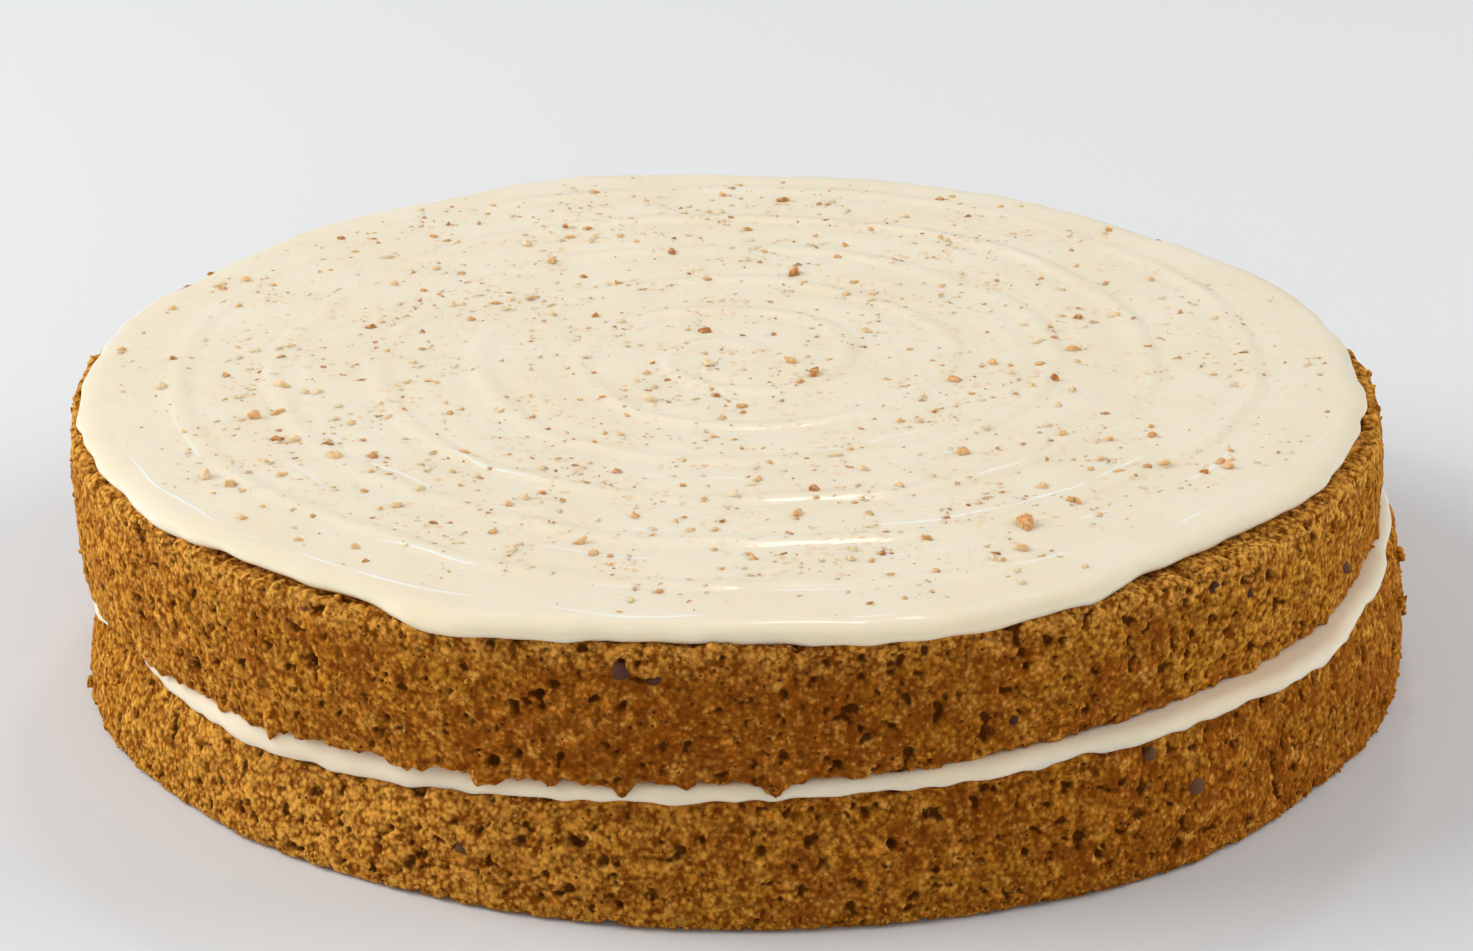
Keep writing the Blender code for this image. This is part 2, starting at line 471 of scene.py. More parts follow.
def relief_tree(finish, settings):
    """Pushes a smooth layer into lumps and air holes, and keeps the unpushed place as rest."""
    tree, given = geometry_tree("crumb_relief", ("Lump Height", "Pore Depth", "Seed"))
    position = add(tree, "GeometryNodeInputPosition").outputs[0]
    normal = add(tree, "GeometryNodeInputNormal").outputs[0]
    place = vectors(tree, "ADD", position, given["Seed"])
    geometry = stored(tree, given["Geometry"], "rest", place, "FLOAT_VECTOR")
    forms = crumb_forms(tree, place, settings.lump_size, settings.pore_size)
    lump, hole, gap, crack = forms
    geometry = stored(tree, geometry, "hollow", maths(tree, "MAXIMUM", hole, gap))

    swell = noise(tree, place, 8 * MM).outputs[0]
    raised = maths(tree, "MULTIPLY_ADD", swell, 4.4, maths(tree, "MULTIPLY", lump, 2.0))
    raised = maths(tree, "MULTIPLY", maths(tree, "SUBTRACT", raised, 3.2), given["Lump Height"])
    sunk = maths(tree, "MULTIPLY_ADD", crack, 0.15, maths(tree, "MULTIPLY", gap, 0.6))
    sunk = maths(tree, "MULTIPLY_ADD", hole, 1.2, sunk)
    sunk = maths(tree, "MULTIPLY", maths(tree, "MINIMUM", sunk, 1.6), given["Pore Depth"])
    height = maths(tree, "SUBTRACT", raised, sunk)
    height = maths(tree, "MULTIPLY", height, read(tree, "bare"))
    wiring = {"Geometry": geometry, "Offset": scaled(tree, normal, height)}
    geometry = add(tree, "GeometryNodeSetPosition", wiring).outputs[0]

    apart = add(tree, "ShaderNodeSeparateXYZ", {0: position}).outputs
    floor = maths(tree, "MAXIMUM", apart[2], 0.0)
    held = add(tree, "ShaderNodeCombineXYZ", {0: apart[0], 1: apart[1], 2: floor}).outputs[0]
    wiring = {"Geometry": geometry, "Position": held}
    geometry = add(tree, "GeometryNodeSetPosition", wiring).outputs[0]
    end_tree(tree, geometry, finish)
    return tree


def crumb_colour(tree, place, settings):
    """Colour of baked carrot crumb before painted highlights and painted shade are laid on it. Its
    region tints carry painted light on the lit sides and partly painted shade at the front.
    """
    crumb, golden = (*settings.crumb, 1.0), (*settings.golden, 1.0)
    baked, olive = (*settings.baked, 1.0), (*settings.olive, 1.0)
    region = add(tree, "ShaderNodeAttribute", attribute_name="region").outputs["Vector"]
    region = add(tree, "ShaderNodeSeparateXYZ", {0: region}).outputs
    broad = noise(tree, place, 30 * MM, 2.0).outputs[0]
    patch = noise(tree, vectors(tree, "ADD", place, (0.3, 0.1, 0.2)), 12 * MM, 3.0).outputs[0]
    tone = noise(tree, place, 3.4 * MM, 3.0, 0.6).outputs[0]
    yellow = maths(tree, "ADD", region[1], ramp(tree, broad, 0.44, 0.64, 0.0, 0.6))
    colour = mixed(tree, yellow, crumb, olive)
    # Browner: random patches plus the brown humps, which at the front are partly painted shade.
    brown = maths(tree, "ADD", region[0], ramp(tree, patch, 0.44, 0.70, 0.0, 0.8))
    colour = mixed(tree, brown, colour, baked)
    # Paler and more golden: random tone, the golden band under the cream, and painted light from the
    # pale humps on the lit sides.
    pale = maths(tree, "ADD", region[2], ramp(tree, tone, 0.50, 0.74, 0.0, 0.9))
    colour = mixed(tree, pale, colour, golden)
    carrot = cells(tree, warped(tree, place, 3 * MM, 3 * MM), 3.4 * MM)
    drawn = add(tree, "ShaderNodeSeparateXYZ", {0: carrot.outputs["Color"]}).outputs[0]
    shred = maths(tree, "MULTIPLY", ramp(tree, carrot.outputs["Distance"], 0.42, 0.20),
                  maths(tree, "GREATER_THAN", drawn, 0.66))
    return mixed(tree, maths(tree, "MULTIPLY", shred, 0.4), colour, (*settings.carrot, 1.0))


def crumb_finish(settings, name, loose):
    """Moist baked crumb: amber granules with a painted highlight on their tips and painted shade
    between them, and painted shade in the air holes, gaps and cracks.

    loose is for crumbs that lie on the cake: they have granules but no air holes.
    """
    made = bpy.data.materials.new(name)
    made.use_nodes = True
    tree = made.node_tree
    shader = tree.nodes["Principled BSDF"]
    if loose:
        place = add(tree, "ShaderNodeTexCoord").outputs["Object"]
    else:
        place = add(tree, "ShaderNodeAttribute", attribute_name="rest").outputs["Vector"]
    bent = warped(tree, place, 1.2 * MM, 0.5 * MM)
    granule = cells(tree, bent, GRANULE, "F1").outputs["Distance"]
    if loose:
        lump = noise(tree, place, settings.lump_size, 2.0, 0.6).outputs[0]
    else:
        forms = crumb_forms(tree, place, settings.lump_size, settings.pore_size)
        lump, hole, gap, crack = forms
    grain = noise(tree, place, 1.0 * MM, 2.0, 0.6).outputs[0]
    body = maths(tree, "MULTIPLY_ADD", granule, -0.45, maths(tree, "MULTIPLY", lump, 0.80))
    body = maths(tree, "MULTIPLY_ADD", grain, 0.50, body)
    colour = crumb_colour(tree, place, settings)
    # Painted highlight on the raised tips of the granules, then painted shade in the low parts
    # between them.
    tip_highlight = mixed(tree, ramp(tree, body, 0.50, 0.78, 0.0, 0.5), colour, (*settings.tip, 1.0))
    colour = mixed(tree, ramp(tree, body, 0.20, 0.62), (*settings.shadow, 1.0), tip_highlight)
    height = body
    if not loose:
        # Painted shade in the air holes, gaps and cracks, on top of the real dips in the mesh.
        hollow_shade = maths(tree, "MAXIMUM", maths(tree, "MAXIMUM", hole, gap),
                     maths(tree, "MULTIPLY", crack, 0.50))
        colour = mixed(tree, maths(tree, "MULTIPLY", hollow_shade, 0.92), colour, (*settings.hole_shade, 1.0))
        # Painted shade in small pits that are only in the colour, not in the mesh.
        pit_shade = pits(tree, bent, 2.4 * MM, 0.6, 0.34)
        colour = mixed(tree, maths(tree, "MULTIPLY", pit_shade, 0.6), colour, (*settings.hole_shade, 1.0))
        speck = cells(tree, place, 2.4 * MM).outputs["Distance"]
        colour = mixed(tree, ramp(tree, speck, 0.13, 0.06), colour, (0.03, 0.014, 0.006, 1))
        height = maths(tree, "MULTIPLY_ADD", crack, -0.25, height)
    tree.links.new(colour, shader.inputs["Base Color"])
    shader.inputs["Roughness"].default_value = 0.85
    shader.inputs["Specular IOR Level"].default_value = 0.04
    shader.inputs["Subsurface Weight"].default_value = 0.6
    shader.inputs["Subsurface Radius"].default_value = (1.0, 0.55, 0.25)
    shader.inputs["Subsurface Scale"].default_value = 1.0 * MM
    bump = add(tree, "ShaderNodeBump", {"Height": height, "Strength": 0.13, "Distance": 0.9 * MM})
    tree.links.new(bump.outputs[0], shader.inputs["Normal"])
    return made


SPONGE_COLUMNS = 1480
SIDE_ROWS = 46
LEDGE_ROWS = 8
FOOT_ROUND, HEAD_ROUND = 1.5 * MM, 1.8 * MM

# Crumb that hangs over the filling: angle and half width in degrees, then how far in mm.
LOBE_LEAN = 0.5  # how far a lobe leans out, as a share of how far it hangs
LOBES = (
    (223, 0.9, 1.3), (226.2, 1.4, 1.6), (229.2, 0.9, 2.0), (232.5, 0.6, 1.2), (243, 1.1, 1.1),
    (250, 1.3, 1.5), (249.4, 0.5, 0.9), (261, 0.55, 2.4), (266, 0.4, 0.8), (273, 1.5, 1.3),
    (273.2, 0.5, 1.2), (286, 1.2, 0.9), (318, 1.0, 1.8), (330, 0.8, 1.0),
    (205, 0.6, 1.6), (350, 0.7, 1.6), (40, 0.8, 2.0), (68, 0.6, 1.4), (95, 0.8, 2.4),
    (131, 0.6, 1.8), (158, 0.7, 2.2), (176, 0.6, 1.4),
)

# Where a side is browner, yellower or paler: angle and half width in degrees, then how much. The
# brown humps are partly the crumb's own tone and partly painted shade, most at the front (268° on
# top, 322° below) on the sides away from the main lamp. The pale humps are painted light, most on the
# left where the main lamp falls.
TOP_BROWN_AND_SHADE = ((268, 26, 0.85), (294, 24, 0.25), (90, 50, 0.5), (10, 25, 0.2))
TOP_OLIVE = ((312, 36, 0.8), (150, 40, 0.4))
BOTTOM_BROWN_AND_SHADE = ((322, 38, 0.7), (60, 40, 0.4))
BOTTOM_OLIVE = ((238, 45, 0.5), (140, 50, 0.3), (310, 40, 0.3))
TOP_PAINTED_LIGHT = ((208, 24, 0.35), (325, 14, 0.1))
BOTTOM_PAINTED_LIGHT = ((232, 28, 0.75),)


def spread(angles, table):
    """Soft humps round the cake, added up from (angle, half width, amount) rows."""
    total = np.zeros_like(angles)
    for middle, width, amount in table:
        away = (np.degrees(angles) - middle + 180.0) % 360.0 - 180.0
        total += amount * np.exp(-((away / width) ** 2))
    return total


def sponge_rows(layer, angles, ragged, hanging, seed):
    """Rings of one baked layer, and how bare and how high each is, from below to on top."""
    foot, head = layer.around(layer.foots, angles), layer.around(layer.heads, angles)
    torn = wander(angles, ((60, 0.35 * MM), (130, 0.35 * MM), (290, 0.25 * MM)), seed)
    lobe = spread(angles, hanging) * MM
    foot = np.maximum(foot + ragged * (torn - 0.3 * MM) - lobe, 0.0)
    head = head + wander(angles, ((24, 0.25 * MM), (90, 0.3 * MM), (230, 0.25 * MM)), seed + 1)
    rows, bare, high = [], [], []

    def row(reach, height, weight, share):
        rows.append(np.stack([reach * np.cos(angles), reach * np.sin(angles), height], axis=1))
        bare.append(weight)
        high.append(share)

    below, above = layer.reach(angles, 0.04), layer.reach(angles, 0.96)
    row(below - 12 * MM, foot, 0.0, 0.0)
    row(below - 2.5 * MM, foot, 0.0, 0.0)
    for step in range(4):
        turn = 0.5 * math.pi * step / 4
        inset, lift = FOOT_ROUND * (1 - math.sin(turn)), FOOT_ROUND * (1 - math.cos(turn))
        row(below - inset + LOBE_LEAN * lobe, foot + lift, 0.55 + 0.45 * step / 4, 0.0)
    for step in range(SIDE_ROWS):
        share = (step + 0.5) / SIDE_ROWS
        span = head - foot - FOOT_ROUND - HEAD_ROUND
        lean = LOBE_LEAN * lobe * math.exp(-((share / 0.13) ** 2))
        row(layer.reach(angles, share) + lean, foot + FOOT_ROUND + share * span, 1.0, share)
    for step in range(5):
        turn = 0.5 * math.pi * step / 4
        inset, drop = HEAD_ROUND * (1 - math.cos(turn)), HEAD_ROUND * (1 - math.sin(turn))
        row(above - inset, head - drop, 1.0, 1.0)
    for step in range(1, LEDGE_ROWS + 1):
        row(above - HEAD_ROUND - step * 1.1 * MM, head, 1.0 if step < LEDGE_ROWS else 0.4, 1.0)
    row(above - 18 * MM, head, 0.0, 1.0)
    return np.array(rows), np.array(bare), np.array(high)


class CAKE_OT_sponges(bpy.types.Operator):
    """Make both baked layers with their lumps and air holes"""

    bl_idname = "cake.sponges"
    bl_label = "Sponge layers"

    def execute(self, context):
        settings = context.scene.cake_sponge
        finish = crumb_finish(settings, "sponge_crumb", False)
        tree = relief_tree(finish, settings)
        angles = np.arange(SPONGE_COLUMNS) * math.tau / SPONGE_COLUMNS
        layers = (
            (1, "bottom_sponge", 1.7, (), BOTTOM_BROWN_AND_SHADE, BOTTOM_OLIVE, BOTTOM_PAINTED_LIGHT, 0.0),
            (2, "top_sponge", 1.0, LOBES, TOP_BROWN_AND_SHADE, TOP_OLIVE, TOP_PAINTED_LIGHT, 0.65),
        )
        for seed, node, ragged, hanging, brown, olive, pale, dry in layers:
            rows, bare, high = sponge_rows(Layer(node), angles, ragged, hanging, seed)
            start = closed_rings(node + "_rings", rows, {"bare": bare})
            # region: browner (partly painted shade at the front), yellower, and paler (the golden
            # band under the cream plus painted light on the lit sides).
            region = np.zeros((len(rows), len(angles), 3))
            region[:, :, 0] = spread(angles, brown) * (1.0 - 0.4 * high[:, None])
            region[:, :, 1] = spread(angles, olive)
            region[:, :, 2] = dry * np.clip(high[:, None] * 5.0 - 4.0, 0.0, 1.0)
            region[:, :, 2] += spread(angles, pale)
            mark(start, "region", region)
            values = {
                "Lump Height": settings.lump_height,
                "Pore Depth": settings.pore_depth,
                "Seed": float(seed),
            }
            piece = grown(node + "_crumb", start, tree, values)
            finished(piece, "sponge", node)
        return {"FINISHED"}


# ---------------------------------------------------------------- cream


TRACK_PITCH = 1.3 * MM  # one unit of track across the spiral


def stained(tree, place, colour):
    """Tan flecks where nut dust shows through a thin skin of cream."""
    fleck = cells(tree, warped(tree, place, 2 * MM, 1.6 * MM), 2.6 * MM)
    drawn = add(tree, "ShaderNodeSeparateXYZ", {0: fleck.outputs["Color"]}).outputs
    patchy = ramp(tree, noise(tree, place, 11 * MM, 3.0).outputs[0], 0.40, 0.66, 0.15, 1.0)
    few = maths(tree, "GREATER_THAN", drawn[0], 0.35)
    wide = maths(tree, "MULTIPLY_ADD", drawn[1], 0.26, 0.28)
    near = ramp(tree, maths(tree, "DIVIDE", fleck.outputs["Distance"], wide), 1.0, 0.3)
    amount = maths(tree, "MULTIPLY", maths(tree, "MULTIPLY", near, few), patchy)
    level = vectors(tree, "MULTIPLY", place, (1.0, 1.0, 0.0))
    away = add(tree, "ShaderNodeVectorMath", {0: level}, operation="LENGTH").outputs["Value"]
    amount = maths(tree, "MULTIPLY", amount, ramp(tree, away, 0.88 * CAKE_RADIUS, 0.80 * CAKE_RADIUS))
    return mixed(tree, maths(tree, "MULTIPLY", amount, 0.55), colour, (0.80, 0.46, 0.18, 1))


def cream_finish(settings, name, colour, top_marks_and_glints):
    """Soft cream cheese icing. The last argument adds the fine lines that a spatula leaves as bumps,
    tan nut flecks, and a painted highlight: pale glint lines along the spatula ridges, strongest
    towards the front.
    """
    made = bpy.data.materials.new(name)
    made.use_nodes = True
    tree = made.node_tree
    shader = tree.nodes["Principled BSDF"]
    place = add(tree, "ShaderNodeTexCoord").outputs["Object"]
    cloud = noise(tree, place, 22 * MM, 3.0).outputs[0]
    warm = (0.985 * colour[0], 0.965 * colour[1], 0.93 * colour[2], 1)
    tinted = mixed(tree, ramp(tree, cloud, 0.35, 0.65), (*colour, 1.0), warm)
    if top_marks_and_glints:
        tinted = stained(tree, place, tinted)
    shader.inputs["Roughness"].default_value = settings.roughness
    shader.inputs["Specular IOR Level"].default_value = 0.2
    shader.inputs["Coat Weight"].default_value = 0.22
    shader.inputs["Coat Roughness"].default_value = 0.12
    shader.inputs["Subsurface Weight"].default_value = 0.8
    shader.inputs["Subsurface Radius"].default_value = (1.0, 0.78, 0.5)
    shader.inputs["Subsurface Scale"].default_value = 3.5 * MM
    height = noise(tree, place, 5.0 * MM, 2.0).outputs[0]
    if top_marks_and_glints:
        track = add(tree, "ShaderNodeAttribute", attribute_name="track").outputs["Vector"]
        line = noise(tree, track, 1.0, 3.0, 0.55).outputs[0]
        where = ramp(tree, noise(tree, place, 40 * MM, 1.0).outputs[0], 0.42, 0.62, 0.05, 0.6)
        height = maths(tree, "MULTIPLY_ADD", line, where, maths(tree, "MULTIPLY", height, 0.8))
        # Painted highlight: pale lines along the spatula ridges stand for the glints of the lamps on
        # them, broken into pieces and strongest towards the front (-y).
        apart = add(tree, "ShaderNodeSeparateXYZ", {0: track}).outputs
        stray = noise(tree, place, 30 * MM, 1.0).outputs[0]
        turns = maths(tree, "MULTIPLY", apart[0], TRACK_PITCH / settings.swirl_spacing)
        turns = maths(tree, "MULTIPLY_ADD", stray, 0.5, maths(tree, "MULTIPLY", turns, 1.5))
        crest = maths(tree, "ABSOLUTE", maths(tree, "SUBTRACT", maths(tree, "FRACT", turns), 0.5))
        crest = maths(tree, "MULTIPLY_ADD", maths(tree, "SUBTRACT", line, 0.5), 0.05, crest)
        along = vectors(tree, "MULTIPLY", track, (0.12, 1.0, 1.0))
        broken = ramp(tree, noise(tree, along, 1.0, 2.0).outputs[0], 0.50, 0.60)
        towards = add(tree, "ShaderNodeSeparateXYZ", {0: place}).outputs[1]
        broken = maths(tree, "MULTIPLY", broken, ramp(tree, towards, -25 * MM, -70 * MM, 0.15, 1.0))
        glint = maths(tree, "MULTIPLY", ramp(tree, crest, 0.045, 0.010), broken)
        tinted = mixed(tree, maths(tree, "MULTIPLY", glint, 0.85), tinted, (0.99, 0.95, 0.87, 1))
        height = maths(tree, "MULTIPLY_ADD", glint, 0.5, height)
    tree.links.new(tinted, shader.inputs["Base Color"])
    wiring = {"Height": height, "Strength": 0.45, "Distance": 0.45 * MM}
    bump = add(tree, "ShaderNodeBump", wiring)
    tree.links.new(bump.outputs[0], shader.inputs["Normal"])
    return made


FILLING_COLUMNS = 1200


class CAKE_OT_filling(bpy.types.Operator):
    """Make the band of cream that swells out between the layers"""

    bl_idname = "cake.filling"
    bl_label = "Cream filling"

    def execute(self, context):
        layer = Layer("cream_filling")
        angles = np.arange(FILLING_COLUMNS) * math.tau / FILLING_COLUMNS
        foot = layer.around(layer.foots, angles) - 0.25 * MM
        head = layer.around(layer.heads, angles) + 0.25 * MM
        reach = layer.reach(angles, 0.5)
        reach = reach + wander(angles, ((22, 0.35 * MM), (52, 0.15 * MM)), 11)
        reach = reach + spread(angles, ((222, 11, 1.3 * MM), (325, 30, 0.5 * MM)))
        reach = reach + spread(angles, ((196, 3, 1.6 * MM), (205, 5, -1.2 * MM)))
        droop = 0.6 * MM + wander(angles, ((48, 0.4 * MM), (104, 0.3 * MM)), 12)
        droop = droop + spread(angles, ((222, 12, 1.0 * MM), (325, 32, 0.8 * MM)))
        rows = []

        def row(at, height):
            rows.append(np.stack([at * np.cos(angles), at * np.sin(angles), height], axis=1))

        row(reach - 20 * MM, foot)
        row(reach - 6 * MM, foot)
        steps = 16
        for step in range(steps + 1):
            slope = -0.5 * math.pi + math.pi * step / steps
            lift = 0.5 + 0.5 * math.sin(slope)
            inset = 1.5 * MM if slope < 0.0 else 3.0 * MM
            swell = 0.2 * MM + inset * (math.cos(slope) - 1.0)
            hang = droop * math.cos(slope) * (1.0 - lift)
            fullest = 0.40
            rise = lift * fullest * 2 if slope < 0.0 else fullest + (lift - 0.5) * 2 * (1 - fullest)
            row(reach + swell, foot + rise * (head - foot) - hang)
        row(reach - 6 * MM, head)
        row(reach - 20 * MM, head)
        mesh = closed_rings("cream_band", np.array(rows))
        settings = context.scene.cake_cream
        finish = cream_finish(settings, "filling_cream", settings.filling_colour, False)
        mesh.materials.append(finish)
        finished(linked("cream_band", mesh), "cream", "cream_filling")
        return {"FINISHED"}


SWIRL_MIDDLE = (0.0, 8 * MM)


def swirl_tree(finish):
    """Raises the spiral that a spatula leaves while the cake turns under it."""
    labels = ("Spacing", "Height", "Middle X", "Middle Y", "Wobble")
    tree, given = geometry_tree("spatula_swirl", labels)
    position = add(tree, "GeometryNodeInputPosition").outputs[0]
    middle = {0: given["Middle X"], 1: given["Middle Y"]}
    middle = add(tree, "ShaderNodeCombineXYZ", middle).outputs[0]
    across = vectors(tree, "SUBTRACT", position, middle)
    apart = add(tree, "ShaderNodeSeparateXYZ", {0: across}).outputs
    reach = maths(tree, "POWER", maths(tree, "ADD", maths(tree, "POWER", apart[0], 2.0),
                                       maths(tree, "POWER", apart[1], 2.0)), 0.5)
    turn = maths(tree, "DIVIDE", maths(tree, "ARCTAN2", apart[1], apart[0]), math.tau)
    stray = maths(tree, "SUBTRACT", noise(tree, position, 45 * MM, 1.0).outputs[0], 0.5)
    stray = maths(tree, "MULTIPLY", stray, given["Wobble"])
    pitch = maths(tree, "DIVIDE", maths(tree, "ADD", reach, stray), given["Spacing"])
    phase = maths(tree, "FRACT", maths(tree, "SUBTRACT", pitch, turn))
    curve = add(tree, "ShaderNodeFloatCurve", {"Value": phase})
    points = curve.mapping.curves[0].points
    points[0].location, points[1].location = (0.0, 0.35), (1.0, 0.35)
    for at, value in ((0.10, 0.62), (0.16, 0.58), (0.24, 0.22), (0.45, 0.30), (0.75, 0.38),
                      (0.90, 0.30)):
        points.new(at, value)
    curve.mapping.update()
    flat = read(tree, "flat")
    uneven = noise(tree, position, 30 * MM, 2.0).outputs[0]
    strength = maths(tree, "MULTIPLY", ramp(tree, uneven, 0.3, 0.7, 0.45, 1.25), flat)
    strength = maths(tree, "MULTIPLY", strength, given["Height"])
    height = maths(tree, "MULTIPLY", maths(tree, "SUBTRACT", curve.outputs[0], 0.35), strength)
    sway = maths(tree, "SUBTRACT", noise(tree, position, 60 * MM, 1.0).outputs[0], 0.5)
    height = maths(tree, "MULTIPLY_ADD", maths(tree, "MULTIPLY", sway, flat), 1.2 * MM, height)
    lift = add(tree, "ShaderNodeCombineXYZ", {2: height}).outputs[0]
    track = add(tree, "ShaderNodeCombineXYZ", {
        0: maths(tree, "DIVIDE", maths(tree, "SUBTRACT", reach, maths(
            tree, "MULTIPLY", turn, given["Spacing"])), TRACK_PITCH),
        1: maths(tree, "MULTIPLY", turn, 26.0)}).outputs[0]
    geometry = stored(tree, given["Geometry"], "track", track, "FLOAT_VECTOR")
    geometry = add(tree, "GeometryNodeSetPosition", {"Geometry": geometry, "Offset": lift})
    end_tree(tree, geometry.outputs[0], finish)
    return tree


TOPPING_COLUMNS = 560
TOPPING_ROWS = 120
LIP_STEPS = 12


class CAKE_OT_topping(bpy.types.Operator):
    """Make the swirled cream on top with its rounded, wandering lip"""

    bl_idname = "cake.topping"
    bl_label = "Cream topping"

    def execute(self, context):
        settings = context.scene.cake_cream
        layer = Layer("cream_topping")
        angles = np.arange(TOPPING_COLUMNS) * math.tau / TOPPING_COLUMNS
        foot = layer.around(layer.foots, angles)
        reach = layer.reach(angles, 0.5)
        reach = reach + 0.4 * MM + wander(angles, ((26, 0.35 * MM), (60, 0.2 * MM)), 21)
        reach = reach + spread(angles, ((158, 26, 1.6 * MM), (274, 24, 1.4 * MM),
                                        (268, 13, 2.5 * MM)))
        lip = 5.2 * MM + wander(angles, ((14, 0.6 * MM),), 22)
        rim = Layer("top_sponge").reach(angles, 0.96)
        foot = foot - np.clip(0.5 * (reach - rim + 2.5 * MM), 0.0, 0.9 * MM)
        foot = foot + wander(angles, ((31, 0.2 * MM), (72, 0.12 * MM)), 23)
        top = layer.around(layer.foots, angles) + settings.thickness
        rows, flat = [], []

        def row(at, height, weight):
            rows.append(np.stack([at * np.cos(angles), at * np.sin(angles), height], axis=1))
            flat.append(weight)

        start, end = math.radians(-50), math.radians(88)
        row(reach - 12 * MM, foot - 0.2 * MM, 0.0)
        for step in range(LIP_STEPS + 1):
            slope = start + (end - start) * step / LIP_STEPS
            rise = (math.sin(slope) - math.sin(start)) / (math.sin(end) - math.sin(start))
            row(reach - lip * (1 - math.cos(slope)), foot + rise * (top - foot), 0.0)
        mean = top.mean()
        for step in range(1, TOPPING_ROWS + 1):
            inwards = step / TOPPING_ROWS
            at = (reach - lip) * (1 - inwards) + 0.6 * MM * inwards
            height = top * (1 - inwards) + mean * inwards
            row(at, height + 0.3 * MM * inwards, min(1.0, 9.0 * inwards))
        start_mesh = closed_rings("cream_rings", np.array(rows), {"flat": np.array(flat)})
        finish = cream_finish(settings, "topping_cream", settings.colour, True)
        tree = swirl_tree(finish)
        values = {
            "Spacing": settings.swirl_spacing,
            "Height": settings.swirl_height,
            "Middle X": SWIRL_MIDDLE[0],
            "Middle Y": SWIRL_MIDDLE[1],
            "Wobble": 9 * MM,
        }
        piece = grown("cream_swirl", start_mesh, tree, values)
        finished(piece, "cream", "cream_topping")
        return {"FINISHED"}


# ---------------------------------------------------------------- crumbs and nuts


def piece_mesh(name):
    return bpy.data.objects[name].data.copy()


VARIANTS = 6


def shapes(tree, rough, subdivisions, seed):
    """A few different lumps, each the hull of a ball whose corners were pushed about."""
    joined = add(tree, "GeometryNodeGeometryToInstance")
    for variant in range(VARIANTS):
        form = add(tree, "GeometryNodeMeshIcoSphere", {"Radius": 1.0, "Subdivisions": 1})
        push = random_vector(tree, seed + variant, (-rough,) * 3, (rough,) * 3)
        wiring = {"Geometry": form.outputs[0], "Offset": push}
        pushed = add(tree, "GeometryNodeSetPosition", wiring).outputs[0]
        made = add(tree, "GeometryNodeConvexHull", {0: pushed}).outputs[0]
        if subdivisions:
            wiring = {"Mesh": made, "Level": subdivisions, "Edge Crease": 0.35}
            made = add(tree, "GeometryNodeSubdivisionSurface", wiring).outputs[0]
        tree.links.new(made, joined.inputs[0])
    return joined.outputs[0]


